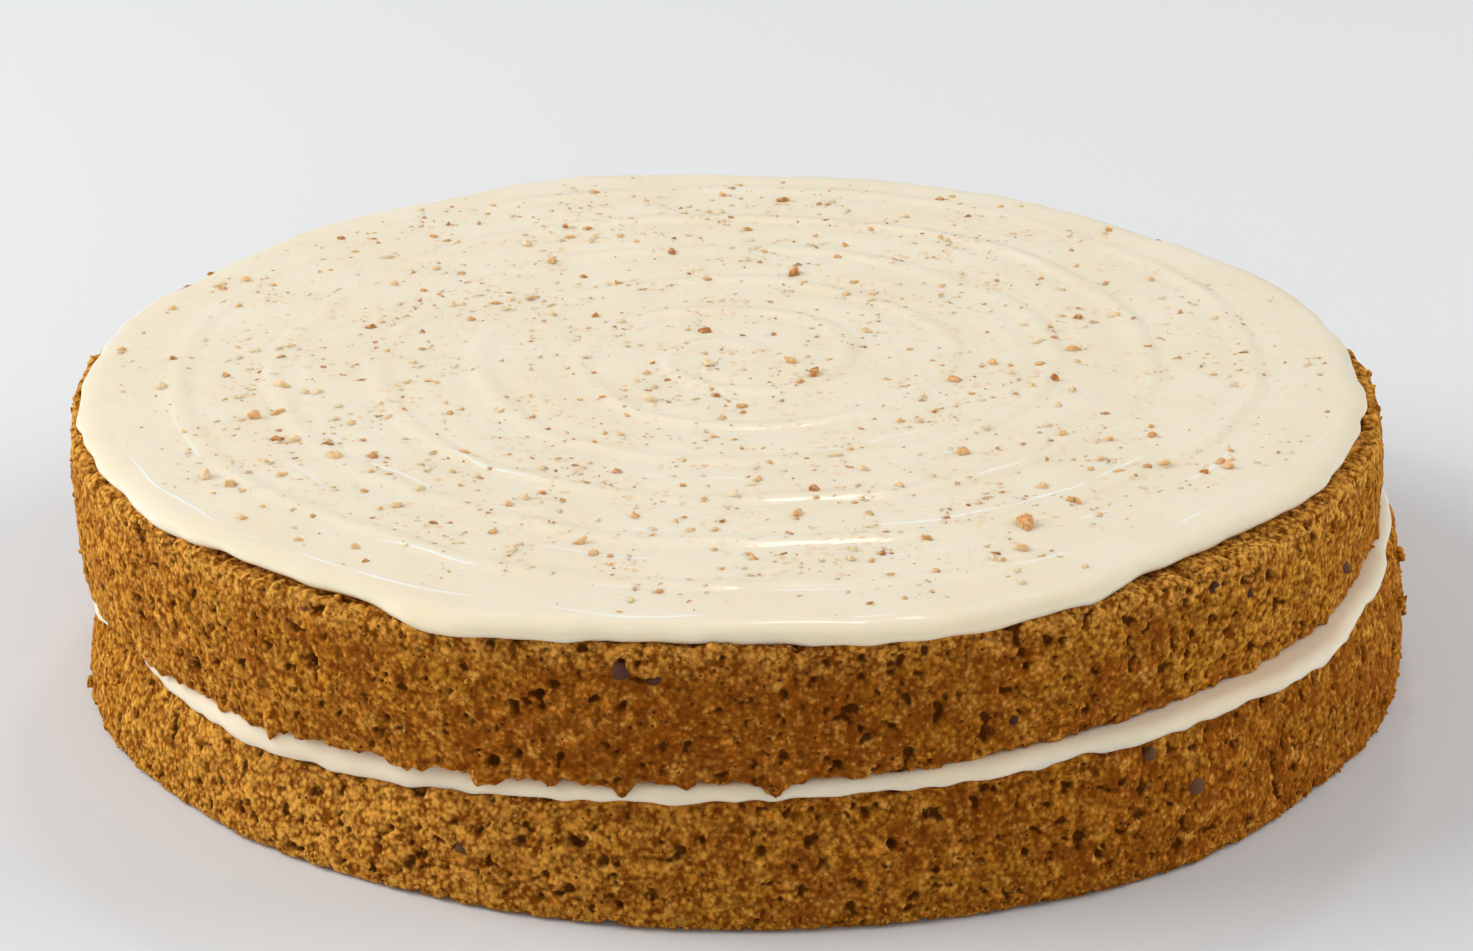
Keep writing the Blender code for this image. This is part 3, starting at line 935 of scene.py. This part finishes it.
def scatter_tree(name, finish, mask, squash, tilt, rough, knobbly, sink, smooth, levels=0):
    """Strews small lumps over a mesh, or over its bare points where mask is None.

    mask is a function that adds the density's nodes. tilt is how far a lump may lean; a lump
    that leans by less than half a turn lies flat.
    """
    tree, given = geometry_tree(name, ("Density", "Small", "Large", "Seed"))
    seed = given["Seed"]
    if mask:
        density = maths(tree, "MULTIPLY", given["Density"], mask(tree))
        wiring = {"Mesh": given["Geometry"], "Density": density, "Seed": seed}
        strewn = add(tree, "GeometryNodeDistributePointsOnFaces", wiring).outputs
        draw = maths(tree, "POWER", chance(tree, seed), 2.0)
        span = maths(tree, "SUBTRACT", given["Large"], given["Small"])
        size = maths(tree, "MULTIPLY_ADD", draw, span, given["Small"])
        points = stored(tree, strewn["Points"], "size", size)
        points = stored(tree, points, "out", strewn["Normal"], "FLOAT_VECTOR")
        tint = chance(tree, maths(tree, "ADD", seed, 7.0))
        points = stored(tree, points, "tint", tint)
    else:
        points = add(tree, "GeometryNodeMeshToPoints", {"Mesh": given["Geometry"]}).outputs[0]
    stretch = random_vector(tree, maths(tree, "ADD", seed, 3.0), squash, (1.0, 1.0, 1.0))
    if tilt < math.pi:
        stretch = vectors(tree, "MULTIPLY", stretch, (1.0, 1.0, 0.6))
    lean = (tilt, tilt, math.pi)
    turned = random_vector(
        tree, maths(tree, "ADD", seed, 5.0), tuple(-each for each in lean), lean
    )
    down = maths(tree, "MULTIPLY", read(tree, "size"), -sink)
    sunk = scaled(tree, read(tree, "out", "FLOAT_VECTOR"), down)
    points = add(tree, "GeometryNodeSetPosition", {"Geometry": points, "Offset": sunk}).outputs[0]
    place = add(tree, "GeometryNodeInputPosition").outputs[0]
    level = add(tree, "ShaderNodeSeparateXYZ", {0: place}).outputs[2]
    short = maths(tree, "SUBTRACT", maths(tree, "MULTIPLY", read(tree, "size"), 0.6), level)
    lift = add(tree, "ShaderNodeCombineXYZ", {2: maths(tree, "MAXIMUM", short, 0.0)}).outputs[0]
    points = add(tree, "GeometryNodeSetPosition", {"Geometry": points, "Offset": lift}).outputs[0]
    pick = {4: 0, 5: VARIANTS - 1, "Seed": maths(tree, "ADD", seed, 9.0)}
    wiring = {
        "Points": points,
        "Instance": shapes(tree, rough, levels, 100),
        "Pick Instance": True,
        "Instance Index": add(
            tree, "FunctionNodeRandomValue", pick, data_type="INT"
        ).outputs[2],
        "Rotation": turned,
        "Scale": scaled(tree, stretch, maths(tree, "MULTIPLY", read(tree, "size"), 0.5)),
    }
    copies = add(tree, "GeometryNodeInstanceOnPoints", wiring).outputs[0]
    real = add(tree, "GeometryNodeRealizeInstances", {"Geometry": copies}).outputs[0]
    position = add(tree, "GeometryNodeInputPosition").outputs[0]
    push = noise(tree, position, 0.9 * MM, 1.0).outputs["Color"]
    push = vectors(tree, "SUBTRACT", push, (0.5, 0.5, 0.5))
    push = scaled(tree, push, maths(tree, "MULTIPLY", read(tree, "size"), knobbly))
    real = add(tree, "GeometryNodeSetPosition", {"Geometry": real, "Offset": push}).outputs[0]
    wiring = {"Geometry": real, "Shade Smooth": smooth}
    real = add(tree, "GeometryNodeSetShadeSmooth", wiring).outputs[0]
    end_tree(tree, real, finish)
    return tree


def spots_mesh(name, spots):
    """Bare points for a scatter tree, from (point, outward, size, tint) rows."""
    mesh = bpy.data.meshes.new(name)
    mesh.from_pydata([spot[0] for spot in spots], [], [])
    kinds = (("out", "FLOAT_VECTOR", "vector", 1), ("size", "FLOAT", "value", 2),
             ("tint", "FLOAT", "value", 3))
    for label, kind, field, column in kinds:
        values = np.array([spot[column] for spot in spots], np.float32).ravel()
        mesh.attributes.new(label, kind, "POINT").data.foreach_set(field, values)
    return mesh


def bare_crumb(tree):
    """Crumbs cling to open crumb, not in its holes, and gather at the foot of the cake."""
    open_crumb = maths(tree, "SUBTRACT", 1.0, read(tree, "hollow"))
    position = add(tree, "GeometryNodeInputPosition").outputs[0]
    height = add(tree, "ShaderNodeSeparateXYZ", {0: position}).outputs[2]
    foot = ramp(tree, height, 1.5 * MM, 4.0 * MM, 4.0, 0.28)
    rim = ramp(tree, height, CAKE_HIGH - 9 * MM, CAKE_HIGH - 6 * MM, 0.0, 1.0)
    foot = maths(tree, "ADD", foot, rim)
    bare = maths(tree, "GREATER_THAN", read(tree, "bare"), 0.34)
    return maths(tree, "MULTIPLY", maths(tree, "MULTIPLY", bare, open_crumb), foot)


# Crumbs that hang or stick out: layer, angle in degrees, then height above the floor, size
# and width in millimetres.
CLUMPS = (
    ("top_sponge", 223, 28.0, 2.0, 4.0), ("top_sponge", 228.6, 26.8, 2.6, 6.5),
    ("top_sponge", 250, 28.6, 2.2, 5.5), ("top_sponge", 261, 28.8, 2.0, 3.5),
    ("top_sponge", 273, 28.8, 2.4, 4.5), ("top_sponge", 286, 29.8, 1.8, 4.0),
    ("top_sponge", 318, 29.6, 2.4, 4.5), ("top_sponge", 205, 28.0, 1.8, 4.0),
    ("top_sponge", 40, 28.6, 2.0, 4.0), ("top_sponge", 95, 28.4, 2.2, 5.0),
    ("top_sponge", 131, 28.2, 2.0, 4.0), ("top_sponge", 158, 28.0, 2.2, 4.5),
    ("bottom_sponge", 354, 25.0, 4.4, 5.0), ("bottom_sponge", 350, 18.0, 4.8, 5.0),
    ("bottom_sponge", 346, 12.0, 4.0, 4.0), ("bottom_sponge", 341, 5.5, 3.8, 4.0),
    ("bottom_sponge", 357, 9.0, 3.6, 4.0), ("bottom_sponge", 184, 20.5, 4.4, 4.5),
    ("bottom_sponge", 187, 16.0, 3.2, 3.5), ("bottom_sponge", 194, 4.0, 3.6, 4.0),
    ("bottom_sponge", 20, 14.0, 3.6, 4.5), ("bottom_sponge", 75, 19.0, 3.4, 4.0),
    ("bottom_sponge", 118, 9.0, 3.6, 5.0), ("bottom_sponge", 146, 17.0, 3.2, 4.0),
)

# Bits of raisin and walnut that show in the sides, laid out the same way.
RAISINS = (
    ("top_sponge", 260, 52.6, 3.8, 0.0), ("top_sponge", 263, 51.0, 2.6, 0.0),
    ("top_sponge", 203, 36.0, 2.2, 0.0), ("top_sponge", 233, 55.0, 2.0, 0.0),
    ("top_sponge", 312, 54.5, 3.2, 0.0), ("top_sponge", 316, 51.0, 3.4, 0.0),
    ("top_sponge", 334, 41.0, 3.2, 0.0), ("top_sponge", 292, 38.0, 2.4, 0.0),
    ("top_sponge", 30, 44.0, 3.6, 0.0), ("top_sponge", 84, 39.0, 3.0, 0.0),
    ("top_sponge", 127, 48.0, 4.0, 0.0), ("top_sponge", 166, 42.0, 2.6, 0.0),
    ("bottom_sponge", 308, 16.0, 4.0, 0.0), ("bottom_sponge", 304, 25.5, 2.6, 0.0),
    ("bottom_sponge", 247, 12.0, 2.4, 0.0), ("bottom_sponge", 10, 12.0, 3.4, 0.0),
    ("bottom_sponge", 62, 18.0, 3.8, 0.0), ("bottom_sponge", 105, 8.0, 2.8, 0.0),
    ("bottom_sponge", 152, 14.0, 3.4, 0.0),
)


def side_spots(table, parts, depth):
    """Where the parts of each clump in table sit. depth is how far in, as a share of the size."""
    sides = {node: Layer(node) for node in ("bottom_sponge", "top_sponge")}
    random = np.random.default_rng(5)
    spots = []
    for node, degrees, height, size, width in table:
        layer, angle = sides[node], np.array([math.radians(degrees)])
        foot, head = layer.around(layer.foots, angle)[0], layer.around(layer.heads, angle)[0]
        share = min(max((height * MM - foot) / (head - foot), 0.1), 0.9)
        reach = layer.reach(angle, share)[0] - depth * size * MM
        out = np.array((math.cos(angle[0]), math.sin(angle[0]), 0.0))
        along = np.array((-out[1], out[0], 0.0))
        for index, part in enumerate(parts):
            slide = ((index * 0.618) % 1.0 - 0.5) * (width - part * size) * MM
            shift = random.uniform(-0.2, 0.2, 3) * size * MM * (1.3 - part)
            place = reach * out + slide * along + shift + np.array((0.0, 0.0, height * MM))
            place[2] = max(place[2], 0.5 * part * size * MM)
            spots.append((tuple(place), tuple(out), part * size * MM, random.uniform()))
    return spots


class CAKE_OT_crumbs(bpy.types.Operator):
    """Strew clinging crumbs over the sides of both layers"""

    bl_idname = "cake.crumbs"
    bl_label = "Clinging crumbs"

    def execute(self, context):
        finish = crumb_finish(context.scene.cake_sponge, "loose_crumb", True)
        squash = (0.6, 0.6, 0.6)
        tree = scatter_tree(
            "clinging_crumbs", finish, bare_crumb, squash, math.pi, 0.45, 0.5, 0.22, True
        )
        for seed, node in ((31, "bottom_sponge"), (32, "top_sponge")):
            values = {
                "Density": 130000.0, "Small": 0.9 * MM, "Large": 2.6 * MM, "Seed": float(seed),
            }
            start = piece_mesh(node + "_crumb")
            piece = grown(node + "_loose_crumbs", start, tree, values)
            finished(piece, "sponge")
        tree = scatter_tree(
            "crumb_clumps", finish, None, (0.6, 0.6, 0.7), math.pi, 0.5, 0.55, 0.0, True, 1
        )
        spots = side_spots(CLUMPS, (0.8, 0.7, 0.75, 0.6, 0.65, 0.5, 0.45, 0.4), 0.0)
        piece = grown("hanging_crumbs", spots_mesh("clump_spots", spots), tree, {"Seed": 51.0})
        finished(piece, "sponge")
        finish = raisin_finish("raisin")
        tree = scatter_tree(
            "raisin_lumps", finish, None, (0.45, 0.6, 0.8), math.pi, 0.4, 0.3, 0.0, True, 1
        )
        spots = side_spots(RAISINS, (1.25,), 0.22)
        piece = grown("raisin_bits", spots_mesh("raisin_spots", spots), tree, {"Seed": 52.0})
        finished(piece, "sponge")
        return {"FINISHED"}


def raisin_finish(name):
    """Dried fruit: purple-brown, from nearly black to grey-brown."""
    made = bpy.data.materials.new(name)
    made.use_nodes = True
    tree = made.node_tree
    shader = tree.nodes["Principled BSDF"]
    tint = add(tree, "ShaderNodeAttribute", attribute_name="tint").outputs["Fac"]
    colour = mixed(tree, tint, (0.080, 0.030, 0.022, 1), (0.170, 0.085, 0.050, 1))
    tree.links.new(colour, shader.inputs["Base Color"])
    shader.inputs["Roughness"].default_value = 0.7
    shader.inputs["Specular IOR Level"].default_value = 0.08
    return made


def nut_finish(name, cream, veil):
    """Chopped hazelnut: pale cut faces, tan to orange-brown, a few dark bits of skin.

    veil is the usual share of cream that clings to it.
    """
    made = bpy.data.materials.new(name)
    made.use_nodes = True
    tree = made.node_tree
    shader = tree.nodes["Principled BSDF"]
    place = add(tree, "ShaderNodeTexCoord").outputs["Object"]
    tint = add(tree, "ShaderNodeAttribute", attribute_name="tint").outputs["Fac"]
    grain = noise(tree, place, 1.0 * MM, 2.0).outputs[0]
    shade = maths(tree, "MULTIPLY_ADD", maths(tree, "SUBTRACT", grain, 0.5), 1.3, tint)
    picked = add(tree, "ShaderNodeValToRGB", {0: shade})
    bands = picked.color_ramp
    bands.elements[0].position, bands.elements[0].color = 0.0, (0.90, 0.70, 0.45, 1)
    bands.elements[1].position, bands.elements[1].color = 1.0, (0.42, 0.16, 0.045, 1)
    for at, colour in ((0.25, (0.88, 0.60, 0.32, 1)), (0.58, (0.82, 0.46, 0.19, 1)),
                       (0.88, (0.64, 0.29, 0.085, 1))):
        band = bands.elements.new(at)
        band.color = colour
    coated = ramp(tree, noise(tree, place, 2.2 * MM, 1.0).outputs[0], 0.3, 0.7, 0.0, 2.0 * veil)
    veiled = mixed(tree, coated, picked.outputs[0], (*cream, 1.0))
    tree.links.new(veiled, shader.inputs["Base Color"])
    shader.inputs["Roughness"].default_value = 0.5
    shader.inputs["Specular IOR Level"].default_value = 0.3
    shader.inputs["Subsurface Weight"].default_value = 0.5
    shader.inputs["Subsurface Radius"].default_value = (1.0, 0.6, 0.3)
    shader.inputs["Subsurface Scale"].default_value = 1.6 * MM
    wiring = {"Height": grain, "Strength": 0.3, "Distance": 0.3 * MM}
    bump = add(tree, "ShaderNodeBump", wiring)
    tree.links.new(bump.outputs[0], shader.inputs["Normal"])
    return made


# The largest pieces of nut: x, y and size in millimetres, then how dark.
LARGEST_NUTS = (
    (57.0, -88.0, 6.0, 0.75), (12.0, 4.0, 4.4, 0.35), (16.5, -4.5, 4.2, 0.85),
    (47.0, -49.0, 5.0, 0.55), (-101.0, -28.0, 4.4, 0.6), (-96.5, -25.5, 4.2, 0.5),
    (68.0, -38.0, 4.0, 0.35), (-108.0, -61.0, 3.8, 0.2), (-102.0, -66.0, 4.6, 0.25),
    (-82.5, -50.0, 4.4, 0.35), (-91.0, -40.5, 4.2, 0.3), (12.0, -82.0, 4.2, 0.6),
    (16.0, -70.0, 3.6, 0.9), (4.5, -64.0, 3.2, 0.55), (28.5, 24.0, 4.2, 0.3),
    (100.0, -57.0, 3.8, 0.5), (87.0, -55.5, 3.8, 0.35), (-74.5, -99.0, 3.0, 0.45),
    (-122.0, -10.0, 4.4, 0.15), (1.0, -22.0, 3.2, 0.7), (13.5, -8.5, 3.4, 0.65),
    (55.0, 3.0, 3.2, 0.6), (84.0, 34.0, 3.0, 0.45), (-48.0, -91.0, 3.4, 0.7),
    (-9.0, -90.0, 3.4, 0.3), (26.0, -58.0, 3.2, 0.2), (-64.0, -68.0, 3.6, 0.1),
    (3.0, 92.0, 3.0, 0.85), (-19.0, -2.0, 3.0, 0.4), (77.0, -41.0, 3.2, 0.3),
)


def sprinkled(tree):
    """Nuts lie thickest on the left and in the middle, and thin out towards the rim."""
    position = add(tree, "GeometryNodeInputPosition").outputs[0]
    apart = add(tree, "ShaderNodeSeparateXYZ", {0: position}).outputs
    level = vectors(tree, "MULTIPLY", position, (1.0, 1.0, 0.0))
    away = add(tree, "ShaderNodeVectorMath", {0: level}, operation="LENGTH").outputs["Value"]
    near = ramp(tree, away, 0.84 * CAKE_RADIUS, 0.96 * CAKE_RADIUS, 1.0, 0.3)
    side = ramp(tree, apart[0], -20 * MM, 110 * MM, 1.0, 0.5)
    patchy = ramp(tree, noise(tree, position, 11 * MM, 3.0).outputs[0], 0.38, 0.64, 0.2, 1.9)
    thick = maths(tree, "MULTIPLY", maths(tree, "MULTIPLY", near, patchy), side)
    return maths(tree, "MULTIPLY", thick, maths(tree, "GREATER_THAN", read(tree, "flat"), 0.01))


class CAKE_OT_nuts(bpy.types.Operator):
    """Sprinkle chopped nuts over the cream, from chunks down to dust"""

    bl_idname = "cake.nuts"
    bl_label = "Chopped nuts"

    def execute(self, context):
        settings = context.scene.cake_nuts
        cream = context.scene.cake_cream.colour
        finish = nut_finish("chopped_nut", cream, 0.05)
        chip_finish = nut_finish("nut_chip", cream, 0.10)
        dust_finish = nut_finish("nut_grain", cream, 0.20)
        squash = (0.6, 0.6, 0.55)
        coarse = scatter_tree(
            "nut_pieces", finish, sprinkled, squash, 0.6, 0.55, 0.35, 0.02, True, 1
        )
        fine = scatter_tree(
            "nut_chips", chip_finish, sprinkled, squash, 0.35, 0.5, 0.5, 0.14, True
        )
        grains = scatter_tree(
            "nut_grains", dust_finish, sprinkled, squash, 0.35, 0.5, 0.5, 0.26, True
        )
        kinds = (
            ("nut_chunks", coarse, settings.chunks * 24.0, 2.2 * MM, 4.2 * MM, 41),
            ("nut_chips", fine, settings.chip_density, 1.0 * MM, 3.2 * MM, 42),
            ("nut_dust", grains, settings.dust_density, 0.6 * MM, 1.5 * MM, 43),
        )
        for name, tree, density, small, large, seed in kinds:
            values = {"Density": density, "Small": small, "Large": large, "Seed": float(seed)}
            piece = grown(name, piece_mesh("cream_swirl"), tree, values)
            finished(piece, "cream")
        self.largest(finish, squash)
        return {"FINISHED"}

    def largest(self, finish, squash):
        """The few largest pieces, each set down where it lies."""
        top = BVHTree.FromPolygons(*self.surface())
        spots = []
        for x, y, size, tint in LARGEST_NUTS:
            hit = top.ray_cast(Vector((x * MM, y * MM, 0.1)), Vector((0, 0, -1)))[0]
            if hit is None:
                raise RuntimeError("a nut lies off the cream")
            spots.append((tuple(hit), (0.0, 0.0, 1.0), size * MM, tint))
        tree = scatter_tree(
            "nut_largest", finish, None, squash, 0.6, 0.55, 0.35, -0.02, True, 1
        )
        piece = grown("largest_nuts", spots_mesh("nut_spots", spots), tree, {"Seed": 61.0})
        finished(piece, "cream")

    def surface(self):
        mesh = bpy.data.objects["cream_swirl"].data
        points = [vertex.co.copy() for vertex in mesh.vertices]
        return points, [tuple(face.vertices) for face in mesh.polygons]


# ---------------------------------------------------------------- stage


class CAKE_OT_stage(bpy.types.Operator):
    """Set the pale floor, the soft lamps and the camera"""

    bl_idname = "cake.stage"
    bl_label = "Stage"

    def execute(self, context):
        settings = context.scene.cake_stage
        self.floor(settings)
        power = settings.light
        self.lamp("window_left", (-1.5, 0.12, 1.05), 1.5, 26.0 * power, (0.98, 0.99, 1.0))
        self.lamp("window_right", (1.5, 0.25, 1.0), 1.4, 14.0 * power, (1.0, 0.99, 0.98))
        self.lamp("room_front", (0.3, -2.6, 0.9), 1.8, 12.0 * power, (1.0, 0.98, 0.95))
        self.lamp("bulb_left", (-1.4, 0.3, 1.0), 0.14, 2.0 * power, (1.0, 1.0, 1.0))
        self.lamp("bulb_back", (0.1, 1.5, 1.75), 0.2, 3.0 * power, (1.0, 1.0, 1.0))
        world = bpy.data.worlds.new("studio")
        world.use_nodes = True
        sky = world.node_tree.nodes["Background"]
        sky.inputs["Color"].default_value = (0.93, 0.96, 1.0, 1.0)
        sky.inputs["Strength"].default_value = 0.33 * power
        context.scene.world = world
        context.scene.view_settings.view_transform = "Standard"
        self.camera(settings)
        return {"FINISHED"}

    def floor(self, settings):
        mesh = bpy.data.meshes.new("floor")
        far = 6.0
        corners = [(-far, -far, 0), (far, -far, 0), (far, far, 0), (-far, far, 0)]
        mesh.from_pydata([(x, y, -0.2 * MM) for x, y, _ in corners], [], [(0, 1, 2, 3)])
        made = bpy.data.materials.new("floor_paint")
        made.use_nodes = True
        shader = made.node_tree.nodes["Principled BSDF"]
        shader.inputs["Base Color"].default_value = (*settings.floor, 1.0)
        shader.inputs["Roughness"].default_value = 0.6
        mesh.materials.append(made)
        linked("floor", mesh)

    def lamp(self, name, place, size, power, colour):
        light = bpy.data.lights.new(name, "AREA")
        light.shape = "DISK"
        light.size = size
        light.energy = power
        light.color = colour
        lamp = bpy.data.objects.new(name, light)
        lamp.location = place
        aim = Vector((0.0, 0.0, 0.04)) - Vector(place)
        lamp.rotation_euler = aim.to_track_quat("-Z", "Y").to_euler()
        lamp.visible_glossy = size < 1.0
        bpy.context.scene.collection.objects.link(lamp)

    def camera(self, settings):
        lens = bpy.data.cameras.new("camera")
        lens.lens = settings.lens
        lens.sensor_width = 36.0
        lens.clip_start = 0.01
        camera = bpy.data.objects.new("camera", lens)
        camera.location = (0.0, -7.0 * 0.140, 3.071 * 0.140)
        camera.rotation_euler = (math.radians(68.18), 0.0, 0.0)
        bpy.context.scene.collection.objects.link(camera)
        bpy.context.scene.camera = camera


# ---------------------------------------------------------------- panel and main


STEPS = (CAKE_OT_stage, CAKE_OT_sponges, CAKE_OT_filling, CAKE_OT_topping, CAKE_OT_crumbs,
         CAKE_OT_nuts)
GROUPS = {"cake_sponge": SpongeSettings, "cake_cream": CreamSettings, "cake_nuts": NutSettings,
          "cake_stage": StageSettings}


class CAKE_PT_panel(bpy.types.Panel):
    """Lists the steps and their settings"""

    bl_idname = "CAKE_PT_panel"
    bl_label = "Carrot cake"
    bl_space_type = "VIEW_3D"
    bl_region_type = "UI"
    bl_category = "Cake"

    def draw(self, context):
        for step in STEPS:
            self.layout.operator(step.bl_idname)
        for name, group in GROUPS.items():
            box = self.layout.box()
            box.label(text=group.__name__)
            for key in group.__annotations__:
                box.prop(getattr(context.scene, name), key)


def register():
    for group in GROUPS.values():
        bpy.utils.register_class(group)
    for name, group in GROUPS.items():
        setattr(bpy.types.Scene, name, bpy.props.PointerProperty(type=group))
    for step in STEPS:
        bpy.utils.register_class(step)
    bpy.utils.register_class(CAKE_PT_panel)


def unregister():
    bpy.utils.unregister_class(CAKE_PT_panel)
    for step in reversed(STEPS):
        bpy.utils.unregister_class(step)
    for name, group in GROUPS.items():
        delattr(bpy.types.Scene, name)
        bpy.utils.unregister_class(group)


def main():
    register()
    for step in STEPS:
        area, _, action = step.bl_idname.partition(".")
        getattr(getattr(bpy.ops, area), action)()


if __name__ == "__main__":
    main()
